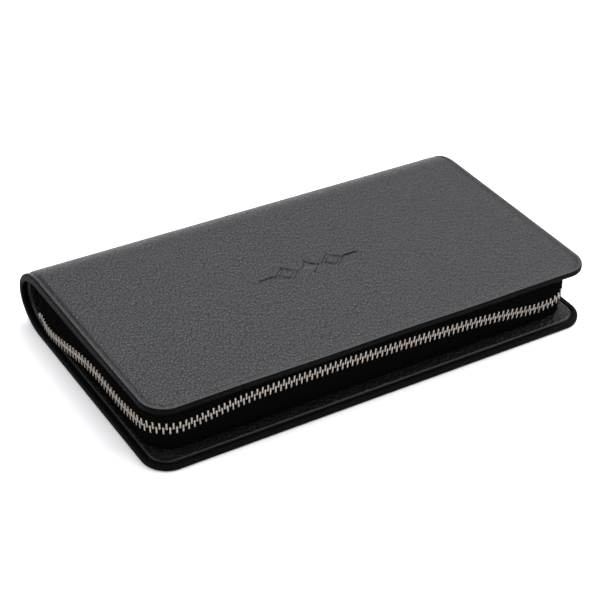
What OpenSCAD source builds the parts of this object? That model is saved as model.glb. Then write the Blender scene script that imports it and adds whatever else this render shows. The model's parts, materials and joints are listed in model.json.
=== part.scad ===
// Zip-around travel document organizer, closed and lying on its back cover.
// X runs along the spine, -Y faces the zipped front edge, +Y the spine, +Z up.
// The origin is the centre of the footprint, on the surface that it rests on.

/* [Covers] */
// Length of the covers along the spine
cover_length = 230; // [226:1:250]
// Depth from the free front edge to the back of the spine
overall_depth = 131; // [129:1:140]
// Height of the closed organizer
closed_height = 30.5; // [30.5:0.5:34]
// Corner radius of the covers' free corners
corner_radius = 12; // [8:0.5:14]
// How far the front cover's free edge sits behind the back cover's
front_setback = 2; // [0:0.5:4]

/* [Cover layers] */
// Thickness of the outer leather
leather_t = 1.2; // [1:0.1:1.4]
// Thickness of the stiffening board
board_t = 1; // [0.8:0.1:1.2]
// Thickness of the leather that faces the inside of each cover
facing_t = 1.2; // [1:0.1:1.4]
// Width of the outer leather turned over each cover's edge
turned_edge = 2.4; // [2:0.1:3]
// Thickness of the sewn hem of the zip tape and of the lining beside it
lining_t = 1; // [0.8:0.1:1.2]

/* [Spine] */
// How far the spine curve bulges behind the covers' flat part
spine_depth = 21; // [18:0.5:22]
// Turn at the two outer fold lines as the organizer opens flat, in degrees
outer_fold = 22.5; // [20:0.5:25]
// Half of the gap between spine strips, as degrees of the spine's curve
fold_trim = 0.5; // [0.4:0.1:0.8]

/* [Zip] */
// Distance from the front edge of the back cover to the zip
zip_inset_front = 9; // [7:0.5:10]
// Distance from the ends of the covers to the zip
zip_inset_side = 5; // [5:0.5:7]
// Radius of the zip round the corners
zip_radius = 13; // [11:0.5:14]
// Thickness of the zip tape
tape_t = 0.6; // [0.5:0.05:0.7]
// Width of the tape's hem, sewn flat onto the cover
tape_hem = 5; // [4:0.5:5]
// Distance between neighbouring teeth of one row
tooth_pitch = 2.6; // [2.4:0.1:3]
// Distance that the zip tape runs past the covers' flat part at the spine
tape_tail = 6.5; // [6:0.5:7]
// Length of the pull tab from its pivot
pull_length = 26; // [20:1:30]

/* [Pockets] */
// Half length of the pockets along the spine
pocket_half = 104; // [102:0.5:104]
// Thickness of the pocket panels
panel_t = 0.8; // [0.6:0.1:0.8]
// Depth of the ticket and passport pockets
pocket_gap = 2.5; // [2:0.1:2.5]
// Step from one card slot's edge to the next
slot_step = 11; // [9:0.5:12]
// Size of the pocket zip as a share of the main zip's
pocket_zip_scale = 0.72; // [0.7:0.01:0.74]

/* [Hidden] */
$fn = 48;

// Colours
outer_black = "#35363a";
inner_black = "#202124";
lining_grey = "#3a3b40";
board_grey = "#8b8478";
tape_black = "#161617";
antique_nickel = "#b9ada0";

// Covers
half_length = cover_length / 2;
back_front_y = -overall_depth / 2;
front_front_y = back_front_y + front_setback;
spine_y = overall_depth / 2 - spine_depth;
half_height = closed_height / 2;
cover_t = leather_t + board_t + facing_t;
inner_face = cover_t + lining_t;
fit_gap = 0.2;
fold_gap = 0.15;
board_end_gap = 4;
cut_past = 1;

// Spine: the curve is half an ellipse, cut at two fold lines into three strips
fold_angle = 2 * atan(tan(outer_fold) * spine_depth / half_height);
fold_angles = [0, fold_angle, 180 - fold_angle, 180];
strip_steps = 10;

// Zip chain: a tooth row on each tape, a hair short of the centre line so the slider's post can pass
zip_half = half_length - zip_inset_side;
zip_front_y = back_front_y + zip_inset_front;
chain_z = half_height;
tooth_w = 1.1;
tooth_t = 2.4;
tooth_root = 3;
tooth_tip = 0.5;
corner_y = zip_front_y + zip_radius;
tape_end_y = spine_y + tape_tail;
tail_lift = 1.6;
stop_w = 1.6;

// Slider
slider_length = 11;
slider_width = 9;
cavity_t = 2.9;
cavity_width = 7;
plate_t = 1;
slit_t = 1.2;
flange_inset = 1;
post_t = 0.7;
post_length = 2;
bail_x = 3.6;
bail_r = 0.6;
cheek_length = 1.4;
cheek_t = 0.8;
cheek_root = 0.2;
eye_bore_r = 0.65;
eye_r = 1.1;
eye_width = 2.6;
pull_t = 1.4;
pull_width = 7;
pull_neck = 3;
pull_slot_d = 2.8;
slider_y = tape_end_y - stop_w - slider_length / 2 - 2 * fit_gap;

// Tooth rows: from the bottom stop on the left, round the front, to the slider on the right
row_start_y = tape_end_y - stop_w - tooth_w;
row_end_y = slider_y - slider_length / 2 - tooth_w;
left_run = row_start_y - corner_y;
corner_run = zip_radius * PI / 2;
front_run = 2 * (zip_half - zip_radius);
right_run = row_end_y - corner_y;
row_length = left_run + 2 * corner_run + front_run + right_run;
tooth_count = floor(row_length / tooth_pitch);

// Pockets
pocket_inset = 4.5;
pocket_step = 2;
pocket_front_y = zip_front_y + pocket_inset;
pocket_radius = 8;
side_pocket_radius = 6;
card_slot_radius = 5;
gusset_w = 3;
ticket_top_y = 28;
ticket_z = inner_face + pocket_gap;
passport_z = ticket_z + panel_t + pocket_gap;
passport_left = -pocket_half + pocket_step;
passport_right = 34;
passport_top_y = 22;
passport_front_y = pocket_front_y + pocket_step;
side_pocket_left = 38;
side_pocket_right = pocket_half - pocket_step;
side_pocket_top_y = 2;

// Zipped pocket inside the front cover
zip_pocket_depth = 3;
zip_pocket_z = inner_face + zip_pocket_depth;
zip_pocket_back_y = spine_y - 2.5;
pocket_chain_y = spine_y - 10.5;
pocket_window = 8;
pocket_tape_w = 4.8;
pocket_tape_t = 0.4;
pocket_chain_z = zip_pocket_z - pocket_tape_t / 2;
pocket_pull_length = 20;
pocket_slider_x = -88;
pocket_stop_t = 1;
pocket_slider_half = slider_length / 2 * pocket_zip_scale;
pocket_row_start = pocket_slider_x + pocket_slider_half + tooth_w;
pocket_row_end = pocket_half - 2 * gusset_w;
pocket_pitch = tooth_pitch * pocket_zip_scale;
pocket_tooth_count = floor((pocket_row_end - pocket_row_start) / pocket_pitch);
pocket_slit_edge = tooth_root * pocket_zip_scale;

// Card slots
slot_rows = 4;
slot_gutter = 2;
slot_first_depth = 25;
slot_front_y = pocket_front_y + pocket_step;
slot_first_y = slot_front_y + slot_first_depth;

// A rectangle with its two front corners rounded
module front_rounded(half_w, front_y, back_y, radius) {
    translate([-half_w, front_y + radius]) square([2 * half_w, back_y - front_y - radius]);
    translate([-half_w + radius, front_y]) square([2 * (half_w - radius), back_y - front_y]);
    for (side = [-1, 1]) translate([side * (half_w - radius), front_y + radius]) circle(radius, $fn = 96);
}

// Places children in the front cover, which is the back cover's mirror image
module in_front_cover() {
    translate([0, 0, closed_height]) mirror([0, 0, 1]) children();
}

// ---- Cover layers, drawn for a cover that lies on its outer face ----

module cover_leather(front_y) {
    difference() {
        linear_extrude(cover_t)
            front_rounded(half_length, front_y, spine_y - fold_gap, corner_radius);
        translate([0, 0, leather_t]) linear_extrude(cover_t)
            front_rounded(half_length - turned_edge, front_y + turned_edge, spine_y + cut_past,
                          corner_radius - turned_edge);
    }
}

module cover_inner_layer(front_y, back_y, bottom_z, thickness) {
    inset = turned_edge + fit_gap;
    translate([0, 0, bottom_z]) linear_extrude(thickness)
        front_rounded(half_length - inset, front_y + inset, back_y, corner_radius - inset);
}

module cover_board(front_y) {
    cover_inner_layer(front_y, spine_y - board_end_gap, leather_t, board_t);
}

module cover_facing(front_y) {
    cover_inner_layer(front_y, spine_y - fold_gap, leather_t + board_t, facing_t);
}

module cover_lining() {
    inset = tape_t / 2 + tape_hem;
    translate([0, 0, cover_t]) linear_extrude(lining_t)
        front_rounded(zip_half - inset, zip_front_y + inset, spine_y - fold_gap, zip_radius - inset);
}

// ---- Zip tape: a wall round three sides, with a hem sewn flat inside it ----

module zip_ring(outer_inset, inner_inset, back_y) {
    difference() {
        front_rounded(zip_half - outer_inset, zip_front_y + outer_inset, back_y, zip_radius - outer_inset);
        front_rounded(zip_half - inner_inset, zip_front_y + inner_inset, back_y + cut_past,
                      zip_radius - inner_inset);
    }
}

module zip_tape() {
    difference() {
        translate([0, 0, cover_t]) linear_extrude(chain_z - tooth_root - cover_t)
            zip_ring(-tape_t / 2, tape_t / 2, tape_end_y);
        // The tail stands clear of the spine's inner curve
        translate([-half_length, spine_y - cut_past, 0])
            cube([cover_length, tape_tail + 2 * cut_past, cover_t + tail_lift]);
    }
    translate([0, 0, cover_t]) linear_extrude(lining_t)
        zip_ring(tape_t / 2, tape_t / 2 + tape_hem, spine_y - cut_past);
}

// Place and heading of the tooth at distance s along the zip, from the left end
function zip_place(s) =
    s < left_run ? [-zip_half, row_start_y - s, -90]
    : s < left_run + corner_run
        ? corner_place(-zip_half + zip_radius, 180 + (s - left_run) / zip_radius * 180 / PI)
    : s < left_run + corner_run + front_run
        ? [-zip_half + zip_radius + s - left_run - corner_run, zip_front_y, 0]
    : s < left_run + 2 * corner_run + front_run
        ? corner_place(zip_half - zip_radius,
                       270 + (s - left_run - corner_run - front_run) / zip_radius * 180 / PI)
    : [zip_half, corner_y + s - left_run - 2 * corner_run - front_run, 90];

function corner_place(centre_x, angle) =
    [centre_x + zip_radius * cos(angle), corner_y + zip_radius * sin(angle), angle - 270];

// One row of teeth standing on the tape's edge
module tooth_row(phase) {
    height = tooth_root - tooth_tip;
    for (i = [0 : tooth_count - 1]) {
        place = zip_place((i + phase) * tooth_pitch);
        translate([place.x, place.y, chain_z - tooth_root + height / 2])
            rotate([0, 0, place.z]) cube([tooth_w, tooth_t, height], center = true);
    }
}

// A metal stop clipped to the tape's edge at the right end
module top_stop() {
    translate([zip_half - tooth_t / 2, tape_end_y - stop_w, chain_z - tooth_root])
        cube([tooth_t, stop_w, tooth_root - tooth_tip]);
}

// ---- Slider and pull, for a zip along Y whose outer face is +X ----

module slider_shape() {
    outer_x = cavity_t / 2 + plate_t;
    flange_w = (slider_width - cavity_width) / 2;
    flange_t = outer_x - slit_t / 2;
    // Two plates and the post that joins them
    for (side = [-1, 1]) {
        translate([side * (outer_x - plate_t / 2), 0, 0])
            cube([plate_t, slider_length, slider_width], center = true);
        // Flanges that wrap each tape's teeth and leave a slit for the tape
        for (edge = [-1, 1])
            translate([side * (slit_t + flange_t) / 2, 0, edge * (slider_width - flange_w) / 2])
                cube([flange_t, slider_length - 2 * flange_inset, flange_w], center = true);
    }
    translate([-outer_x, slider_length / 2 - post_length, -post_t / 2])
        cube([2 * outer_x, post_length, post_t]);
    // Bail: two cheeks and the pin that the pull turns on
    for (edge = [-1, 1])
        translate([outer_x - cheek_root, -cheek_length / 2,
                   edge * (eye_width + cheek_t + 2 * fit_gap) / 2 - cheek_t / 2])
            cube([bail_x + bail_r - outer_x + cheek_root, cheek_length, cheek_t]);
    translate([bail_x, 0, 0])
        cylinder(r = bail_r, h = eye_width + 2 * (cheek_t + fit_gap), center = true);
}

module pull_shape(length) {
    end_y = -length + pull_width / 2;
    translate([bail_x, 0, 0]) difference() {
        union() {
            cylinder(r = eye_r, h = eye_width, center = true);
            translate([-pull_t / 2, -pull_neck - cut_past, -eye_width / 2])
                cube([pull_t, pull_neck + cut_past, eye_width]);
            translate([-pull_t / 2, end_y, -pull_width / 2])
                cube([pull_t, -end_y - pull_neck, pull_width]);
            translate([0, end_y, 0]) rotate([0, 90, 0]) cylinder(d = pull_width, h = pull_t, center = true);
        }
        cylinder(r = eye_bore_r, h = 2 * eye_width, center = true);
        // Hole near the tab's end
        translate([0, end_y, 0]) rotate([0, 90, 0]) cylinder(d = pull_slot_d, h = 2 * pull_t, center = true);
    }
}

module at_main_slider() {
    translate([zip_half, slider_y, chain_z]) children();
}

module at_pocket_slider() {
    in_front_cover() translate([pocket_slider_x, pocket_chain_y, pocket_chain_z])
        rotate([0, 0, 90]) rotate([0, -90, 0]) scale(pocket_zip_scale) children();
}

// ---- Spine strips ----

function spine_point(angle, inset) = [
    spine_y + (spine_depth - inset) * sin(angle),
    half_height - (half_height - inset) * cos(angle)
];

module spine_strip(index, outer_inset, inner_inset) {
    start = fold_angles[index] + fold_trim;
    step = (fold_angles[index + 1] - fold_trim - start) / strip_steps;
    outer = [for (i = [0 : strip_steps]) spine_point(start + i * step, outer_inset)];
    inner = [for (i = [strip_steps : -1 : 0]) spine_point(start + i * step, inner_inset)];
    // The profile is drawn in the Y-Z plane and extruded along X
    translate([-half_length, 0, 0]) rotate([90, 0, 90])
        linear_extrude(cover_length) polygon(concat(outer, inner));
}

module spine_leather_lower() color(outer_black) spine_strip(0, 0, leather_t);
module spine_leather_middle() color(outer_black) spine_strip(1, 0, leather_t);
module spine_leather_upper() color(outer_black) spine_strip(2, 0, leather_t);
module spine_lining_lower() color(inner_black) spine_strip(0, leather_t, cover_t);
module spine_lining_middle() color(inner_black) spine_strip(1, leather_t, cover_t);
module spine_lining_upper() color(inner_black) spine_strip(2, leather_t, cover_t);

// ---- Pockets ----

// A pocket panel with rounded front corners, from x = left to right
module panel_plate(left, right, front_y, top_y, radius) {
    translate([(left + right) / 2, 0, 0]) linear_extrude(panel_t)
        front_rounded((right - left) / 2, front_y, top_y, radius);
}

// Strips that hold a pocket open on its two ends and its front
module gusset_strips(left, right, front_y, top_y, depth) {
    side_front = front_y + pocket_radius;
    for (x = [left, right - gusset_w])
        translate([x, side_front, 0]) cube([gusset_w, top_y - side_front, depth]);
    translate([left + pocket_radius, front_y, 0])
        cube([right - left - 2 * pocket_radius, gusset_w, depth]);
}

module card_slot(side, row) color(outer_black) {
    left = side < 0 ? -pocket_half + slot_gutter : slot_gutter;
    in_front_cover() translate([0, 0, zip_pocket_z + panel_t * (1 + slot_rows - row)])
        panel_plate(left, left + pocket_half - 2 * slot_gutter, slot_front_y,
                    slot_first_y + (row - 1) * slot_step, card_slot_radius);
}

// ---- Nodes: back cover ----

module back_leather() color(outer_black) cover_leather(back_front_y);
module back_board() color(board_grey) cover_board(back_front_y);
module back_facing() color(inner_black) cover_facing(back_front_y);
module back_lining() color(lining_grey) cover_lining();
module lower_zip_tape() color(tape_black) zip_tape();
module lower_zip_teeth() color(antique_nickel) tooth_row(0);
module lower_top_stop() color(antique_nickel) top_stop();

module zip_bottom_stop() color(antique_nickel)
    translate([-zip_half - tooth_t / 2, tape_end_y - stop_w, chain_z - tooth_root])
        cube([tooth_t, stop_w, 2 * tooth_root - fit_gap]);

module ticket_pocket() color(outer_black)
    translate([0, 0, ticket_z])
        panel_plate(-pocket_half, pocket_half, pocket_front_y, ticket_top_y, pocket_radius);

module ticket_pocket_gusset() color(lining_grey)
    translate([0, 0, inner_face])
        gusset_strips(-pocket_half, pocket_half, pocket_front_y, ticket_top_y, pocket_gap);

module passport_pocket() color(outer_black)
    translate([0, 0, passport_z])
        panel_plate(passport_left, passport_right, passport_front_y, passport_top_y, pocket_radius);

module passport_pocket_gusset() color(lining_grey)
    translate([0, 0, passport_z - pocket_gap])
        gusset_strips(passport_left, passport_right, passport_front_y, passport_top_y, pocket_gap);

module side_pocket() color(outer_black)
    translate([0, 0, ticket_z + panel_t])
        panel_plate(side_pocket_left, side_pocket_right, passport_front_y, side_pocket_top_y,
                    side_pocket_radius);

// ---- Nodes: front cover ----

module front_leather() color(outer_black) in_front_cover() cover_leather(front_front_y);
module front_board() color(board_grey) in_front_cover() cover_board(front_front_y);
module front_facing() color(inner_black) in_front_cover() cover_facing(front_front_y);
module front_lining() color(lining_grey) in_front_cover() cover_lining();
module upper_zip_tape() color(tape_black) in_front_cover() zip_tape();
module upper_zip_teeth() color(antique_nickel) in_front_cover() tooth_row(0.5);
module upper_top_stop() color(antique_nickel) in_front_cover() top_stop();

module zip_pocket_panel() color(outer_black)
    in_front_cover() translate([0, 0, zip_pocket_z])
        panel_plate(-pocket_half, pocket_half, pocket_front_y, pocket_chain_y - pocket_window / 2,
                    pocket_radius);

module zip_pocket_top_strip() color(outer_black) {
    front_y = pocket_chain_y + pocket_window / 2;
    in_front_cover() translate([-pocket_half, front_y, zip_pocket_z])
        cube([2 * pocket_half, zip_pocket_back_y - front_y, panel_t]);
}

module zip_pocket_gusset() color(lining_grey) {
    back_half = pocket_half - gusset_w - fit_gap;
    in_front_cover() translate([0, 0, inner_face]) {
        gusset_strips(-pocket_half, pocket_half, pocket_front_y, zip_pocket_back_y, zip_pocket_depth);
        // The strip under the pocket zip's far tape
        translate([-back_half, zip_pocket_back_y - gusset_w, 0])
            cube([2 * back_half, gusset_w, zip_pocket_depth - pocket_tape_t]);
    }
}

module pocket_zip_tapes() color(tape_black) {
    length = 2 * (pocket_half - gusset_w - fit_gap);
    for (row = [-1, 1])
        in_front_cover()
            translate([0, pocket_chain_y + row * (pocket_slit_edge + pocket_tape_w / 2), pocket_chain_z])
                cube([length, pocket_tape_w, pocket_tape_t], center = true);
}

module pocket_zip_teeth() color(antique_nickel) {
    height = (tooth_root - tooth_tip) * pocket_zip_scale;
    for (row = [-1, 1], i = [0 : pocket_tooth_count - 1])
        in_front_cover()
            translate([pocket_row_start + (i + (row + 1) / 4) * pocket_pitch,
                       pocket_chain_y + row * (pocket_slit_edge - height / 2), pocket_chain_z])
                cube([tooth_w, height / pocket_zip_scale, tooth_t] * pocket_zip_scale, center = true);
}

module pocket_zip_stops() color(antique_nickel) {
    height = (tooth_root - tooth_tip) * pocket_zip_scale;
    start_x = pocket_slider_x - pocket_slider_half - pocket_stop_t;
    for (x = [start_x, pocket_row_end + pocket_stop_t], row = [-1, 1])
        in_front_cover()
            translate([x, pocket_chain_y + row * (pocket_slit_edge - height / 2), pocket_chain_z])
                cube([pocket_stop_t, height, tooth_t * pocket_zip_scale], center = true);
}

// ---- Nodes: sliders and pulls ----

module zip_slider() color(antique_nickel) at_main_slider() slider_shape();
module zip_pull() color(antique_nickel) at_main_slider() pull_shape(pull_length);
module pocket_zip_slider() color(antique_nickel) at_pocket_slider() slider_shape();
module pocket_zip_pull() color(antique_nickel) at_pocket_slider() pull_shape(pocket_pull_length);

back_leather();
back_board();
back_facing();
back_lining();
lower_zip_tape();
lower_zip_teeth();
lower_top_stop();
zip_bottom_stop();
ticket_pocket();
ticket_pocket_gusset();
passport_pocket();
passport_pocket_gusset();
side_pocket();
spine_leather_lower();
spine_leather_middle();
spine_leather_upper();
spine_lining_lower();
spine_lining_middle();
spine_lining_upper();
front_leather();
front_board();
front_facing();
front_lining();
upper_zip_tape();
upper_zip_teeth();
upper_top_stop();
zip_pocket_panel();
zip_pocket_top_strip();
zip_pocket_gusset();
pocket_zip_tapes();
pocket_zip_teeth();
pocket_zip_stops();
for (row = [1 : slot_rows]) {
    card_slot(-1, row);
    card_slot(1, row);
}
zip_slider();
zip_pull();
pocket_zip_slider();
pocket_zip_pull();
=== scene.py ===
"""Looks of a zip-around travel document organizer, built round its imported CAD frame.

Lengths in this script are millimetres until a mesh is made, which turns them into metres.
The leather wrap is drawn flat, in x (along the spine), s (along the leather, from the back cover
round the spine to the front cover) and n (depth below the outer surface), and then bent.
"""
import json
from math import cos, floor, pi, radians, sin
import bmesh
import bpy
import numpy as np
from mathutils import Matrix, Vector


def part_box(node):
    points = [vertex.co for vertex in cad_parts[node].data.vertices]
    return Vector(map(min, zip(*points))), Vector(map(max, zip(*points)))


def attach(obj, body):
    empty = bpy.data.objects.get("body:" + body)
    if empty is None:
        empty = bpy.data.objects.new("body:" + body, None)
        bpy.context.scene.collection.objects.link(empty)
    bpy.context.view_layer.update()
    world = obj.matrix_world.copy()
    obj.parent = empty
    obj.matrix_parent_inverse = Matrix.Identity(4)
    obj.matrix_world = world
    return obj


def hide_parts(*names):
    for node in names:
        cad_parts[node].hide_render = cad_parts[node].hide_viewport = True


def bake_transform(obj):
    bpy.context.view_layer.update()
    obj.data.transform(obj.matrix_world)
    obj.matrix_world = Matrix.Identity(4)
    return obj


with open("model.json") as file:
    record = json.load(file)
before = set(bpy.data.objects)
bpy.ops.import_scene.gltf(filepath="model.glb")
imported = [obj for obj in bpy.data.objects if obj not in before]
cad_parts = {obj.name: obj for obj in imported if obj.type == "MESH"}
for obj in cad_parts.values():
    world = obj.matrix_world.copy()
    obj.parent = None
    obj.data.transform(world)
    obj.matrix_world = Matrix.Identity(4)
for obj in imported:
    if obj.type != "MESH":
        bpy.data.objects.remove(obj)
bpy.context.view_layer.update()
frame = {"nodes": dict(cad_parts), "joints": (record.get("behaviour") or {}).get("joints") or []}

MM = 0.001
scene = bpy.context.scene


def box_mm(node):
    low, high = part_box(node)
    return low / MM, high / MM


# ---- sizes read from the frame
cover_low, cover_high = box_mm("back_leather")
HALF = cover_high.x
BACK_EDGE_Y = cover_low.y
FRONT_EDGE_Y = box_mm("front_leather")[0].y
HEIGHT = box_mm("front_leather")[1].z
COVER_T = cover_high.z
LEATHER_T = box_mm("back_board")[0].z
FACING_N = box_mm("back_facing")[0].z
joints = {j["name"]: j for j in frame["joints"]}
SPINE_Y = joints["spine_fold_1"]["pos_m"][1] / MM
SPINE_DEPTH = box_mm("spine_leather_middle")[1].y - SPINE_Y
HALF_HEIGHT = HEIGHT / 2
CORNER_R = 12.0

tape_low, tape_high = box_mm("lower_zip_tape")
TAPE_T = 0.6
ZIP_HALF = tape_high.x - TAPE_T / 2
ZIP_FRONT_Y = tape_low.y + TAPE_T / 2
TAPE_END_Y = tape_high.y
ZIP_R = 13.0
TOOTH_PITCH = 2.6

# ---- the wrap's cross-section curve
turn = np.linspace(0, pi, 1441)
curve_y = SPINE_Y + SPINE_DEPTH * np.sin(turn)
curve_z = HALF_HEIGHT * (1 - np.cos(turn))
curve_s = np.concatenate([[0], np.cumsum(np.hypot(np.diff(curve_y), np.diff(curve_z)))])
ARC = curve_s[-1]


def arc_at(point_mm):
    """Distance along the leather of the curve's point nearest to a place in the Y-Z plane."""
    return curve_s[np.argmin(np.hypot(curve_y - point_mm[1], curve_z - point_mm[2]))]


def smooth(lo, hi, v):
    t = np.clip((np.asarray(v, float) - lo) / (hi - lo), 0, 1)
    return t * t * (3 - 2 * t)


SWELL, SWELL_WIDTH, SWELL_FADE = 0.62, (3.3, 7), (35, 85)


def rim_swell(x, s):
    """The front cover's folded rim is thicker at its left side, next to the spine."""
    near_edge = 1 - smooth(*SWELL_WIDTH, HALF + x)
    along = smooth(ARC * 0.55, ARC, s) * (1 - smooth(ARC + SWELL_FADE[0], ARC + SWELL_FADE[1], s))
    return SWELL * near_edge * along


def wrap(x, s, n):
    """Bends flat leather coordinates round the spine. Arrays in, an array of points out."""
    x, s, n = np.broadcast_arrays(np.asarray(x, float), np.asarray(s, float), np.asarray(n, float))
    n = n * (1 + rim_swell(x, s))
    a = np.interp(np.clip(s, 0, ARC), curve_s, turn)
    before, past = np.minimum(s, 0), np.maximum(s - ARC, 0)
    y = SPINE_Y + SPINE_DEPTH * np.sin(a) + before - past
    z = HALF_HEIGHT * (1 - np.cos(a))
    ty, tz = SPINE_DEPTH * np.cos(a), HALF_HEIGHT * np.sin(a)
    size = np.hypot(ty, tz)
    return np.stack([x, y - n * tz / size, z + n * ty / size], axis=-1)


# ---- mesh helpers
# Faces with less grain than this are the smooth cut edge, which takes the edge material with its painted
# shade
EDGE_GRAIN = 0.32


def make(name, verts, faces, body, node=None, mat=None, angle=35.0, flat=None, grain=None,
         edge_mat=None):
    """A mesh piece from points in mm. flat holds each point's place on the flat leather, and grain how
    strong the leather's grain is there. Faces with little grain take edge_mat."""
    mesh = bpy.data.meshes.new(name)
    mesh.from_pydata((np.asarray(verts, float) * MM).tolist(), [], [list(map(int, f)) for f in faces])
    if flat is not None:
        attribute = mesh.attributes.new("flat_place", "FLOAT_VECTOR", "POINT")
        attribute.data.foreach_set("vector", (np.asarray(flat, float) * MM).astype(np.float32).ravel())
    if grain is not None:
        attribute = mesh.attributes.new("grain", "FLOAT", "POINT")
        attribute.data.foreach_set("value", np.asarray(grain, np.float32))
    bm = bmesh.new()
    bm.from_mesh(mesh)
    bmesh.ops.remove_doubles(bm, verts=bm.verts, dist=2e-6)
    edges = [e for e in bm.edges if e.is_boundary]
    if edges:
        filled = bmesh.ops.holes_fill(bm, edges=edges, sides=0)["faces"]
        bmesh.ops.triangulate(bm, faces=filled, ngon_method="EAR_CLIP")
    bmesh.ops.recalc_face_normals(bm, faces=bm.faces)
    bm.to_mesh(mesh)
    bm.free()
    for polygon in mesh.polygons:
        polygon.use_smooth = True
    mesh.set_sharp_from_angle(angle=radians(angle))
    piece = bpy.data.objects.new(name, mesh)
    scene.collection.objects.link(piece)
    mesh.materials.append(mat)
    if edge_mat is not None:
        mesh.materials.append(edge_mat)
        values = np.empty(len(mesh.vertices), np.float32)
        mesh.attributes["grain"].data.foreach_get("value", values)
        for polygon in mesh.polygons:
            polygon.material_index = int(values[list(polygon.vertices)].mean() < EDGE_GRAIN)
    if body is not None:
        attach(piece, body)
    if node is not None:
        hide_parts(node)
    return piece


def grid_faces(rows, cols, start=0, closed_cols=False):
    """Quads over a rows x cols block of points that starts at index start."""
    i, j = np.meshgrid(np.arange(rows - 1), np.arange(cols if closed_cols else cols - 1), indexing="ij")
    k = (j + 1) % cols
    a, b = start + i * cols + j, start + i * cols + k
    return np.stack([a, b, b + cols, a + cols], axis=-1).reshape(-1, 4).tolist()


class Parts:
    """Collects blocks of points and faces into one mesh."""

    def __init__(self):
        self.verts, self.faces, self.count = [], [], 0

    def add(self, verts, faces):
        verts = np.asarray(verts, float).reshape(-1, 3)
        self.faces += [[i + self.count for i in f] for f in faces]
        self.verts.append(verts)
        self.count += len(verts)

    def make(self, name, body, node=None, slot=None, angle=35.0):
        """A piece with its slot's material, or of thread. A node of True has the piece's own name."""
        mat = BY_SLOT[slot] if slot else THREAD
        node = name if node is True else node
        make(name, np.concatenate(self.verts), self.faces, body, node, mat, angle)


def columns(*parts):
    """Points whose coordinates are the parts, each an array or one number for them all."""
    return np.stack(np.broadcast_arrays(*parts), axis=-1)


def stations(lo, hi, step):
    return np.linspace(lo, hi, max(2, int(round((hi - lo) / step)) + 1))


def stations_fine(lo, hi, step, fine_lo, fine_hi, fine_step):
    """Stations with a closely spaced stretch in the middle."""
    return np.unique(np.concatenate([stations(lo, fine_lo, step), stations(fine_lo, fine_hi, fine_step),
                                     stations(fine_hi, hi, step)]))


def coons(front, back, left, right):
    """Fills the space between four boundaries. Rows run front to back, columns left to right."""
    u = (back[:, 0] - back[0, 0]) / (back[-1, 0] - back[0, 0])
    v = (left[:, 1] - left[0, 1]) / (left[-1, 1] - left[0, 1])
    u, v = u[None, :, None], v[:, None, None]
    edges = (1 - v) * front[None] + v * back[None] + (1 - u) * left[:, None] + u * right[:, None]
    corners = ((1 - u) * (1 - v) * front[0] + u * (1 - v) * front[-1]
               + (1 - u) * v * back[0] + u * v * back[-1])
    return edges - corners


def closed_rings(x0, x1, y0, y1, radii, insets, step=3.0, arc_steps=8):
    """Rings of a rectangle with rounded corners, one per inset, and the grid that fills the last one.
    radii are those of the front-left, front-right, back-right and back-left corners."""
    half = arc_steps // 2
    corners = [(x0, y0, 1, 1, 180), (x1, y0, -1, 1, 270), (x1, y1, -1, -1, 0), (x0, y1, 1, -1, 90)]
    xs = [stations(x0 + radii[0], x1 - radii[1], step), stations(x0 + radii[3], x1 - radii[2], step)]
    count_x = max(len(xs[0]), len(xs[1]))
    count_y = max(2, int(round((y1 - y0) / step)) + 1)
    rings = []
    for d in insets:
        arcs = []
        for (cx, cy, sx, sy, start), r in zip(corners, radii):
            angles = np.radians(np.linspace(start, start + 90, arc_steps + 1))
            rr = max(r - d, 0.02)
            push = r if r > d else d + 0.02
            arcs.append(np.stack([cx + sx * push + rr * np.cos(angles),
                                  cy + sy * push + rr * np.sin(angles)], axis=-1))
        ring = []
        for k, count in ((0, count_x), (1, count_y), (2, count_x), (3, count_y)):
            first, second = arcs[k], arcs[(k + 1) % 4]
            line = first[-1] + (second[0] - first[-1]) * np.linspace(0, 1, count)[:, None]
            ring.append(np.concatenate([first[half:-1], line, second[1:half]]))
        rings.append(ring)
    front, right, back, left = rings[-1]
    close = [np.concatenate([a, b[:1]]) for a, b in zip(rings[-1], rings[-1][1:] + rings[-1][:1])]
    grid = coons(close[0], close[2][::-1], close[3][::-1], close[1])
    return [np.concatenate(r) for r in rings], grid


def plate(parts, x0, x1, y0, y1, radii, z0, z1, soft=0.3, bulge=0.0, step=3.0, to_world=None):
    """A closed panel with rounded edges from z0 to z1. bulge lifts the middle of its z1 face."""
    thick = z1 - z0
    side = 1 if thick > 0 else -1
    narrow = min(x1 - x0, y1 - y0)
    soft = min(soft, abs(thick) / 2, 0.25 * narrow)
    reach = min(4 * soft + 0.6, 0.42 * narrow)
    bend = [(1 - cos(a), 1 - sin(a)) for a in np.linspace(0, pi / 2, 4)]
    top = [(soft * a, z1 - side * soft * b) for a, b in bend]
    low = [(soft * a, z0 + side * soft * b) for a, b in bend][::-1]
    outline = [(reach, z0)] + low + top + [(reach, z1)]
    rings, grid = closed_rings(x0, x1, y0, y1, radii, [d for d, _ in outline], step)
    verts = np.concatenate([columns(*r.T, z) for r, (_, z) in zip(rings, outline)])
    faces = grid_faces(len(rings), len(rings[0]), closed_cols=True)
    rows, cols = grid.shape[:2]
    u = (grid[..., 0] - x0) / (x1 - x0)
    v = (grid[..., 1] - y0) / (y1 - y0)
    lift = bulge * side * 16 * u * (1 - u) * v * (1 - v)
    for z, rise in ((z0, 0), (z1, 1)):
        block = np.concatenate([grid, (z + rise * lift)[..., None]], axis=-1).reshape(-1, 3)
        faces += grid_faces(rows, cols, len(verts))
        verts = np.concatenate([verts, block])
    if to_world is not None:
        verts = to_world(verts)
    parts.add(verts, faces)


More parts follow.
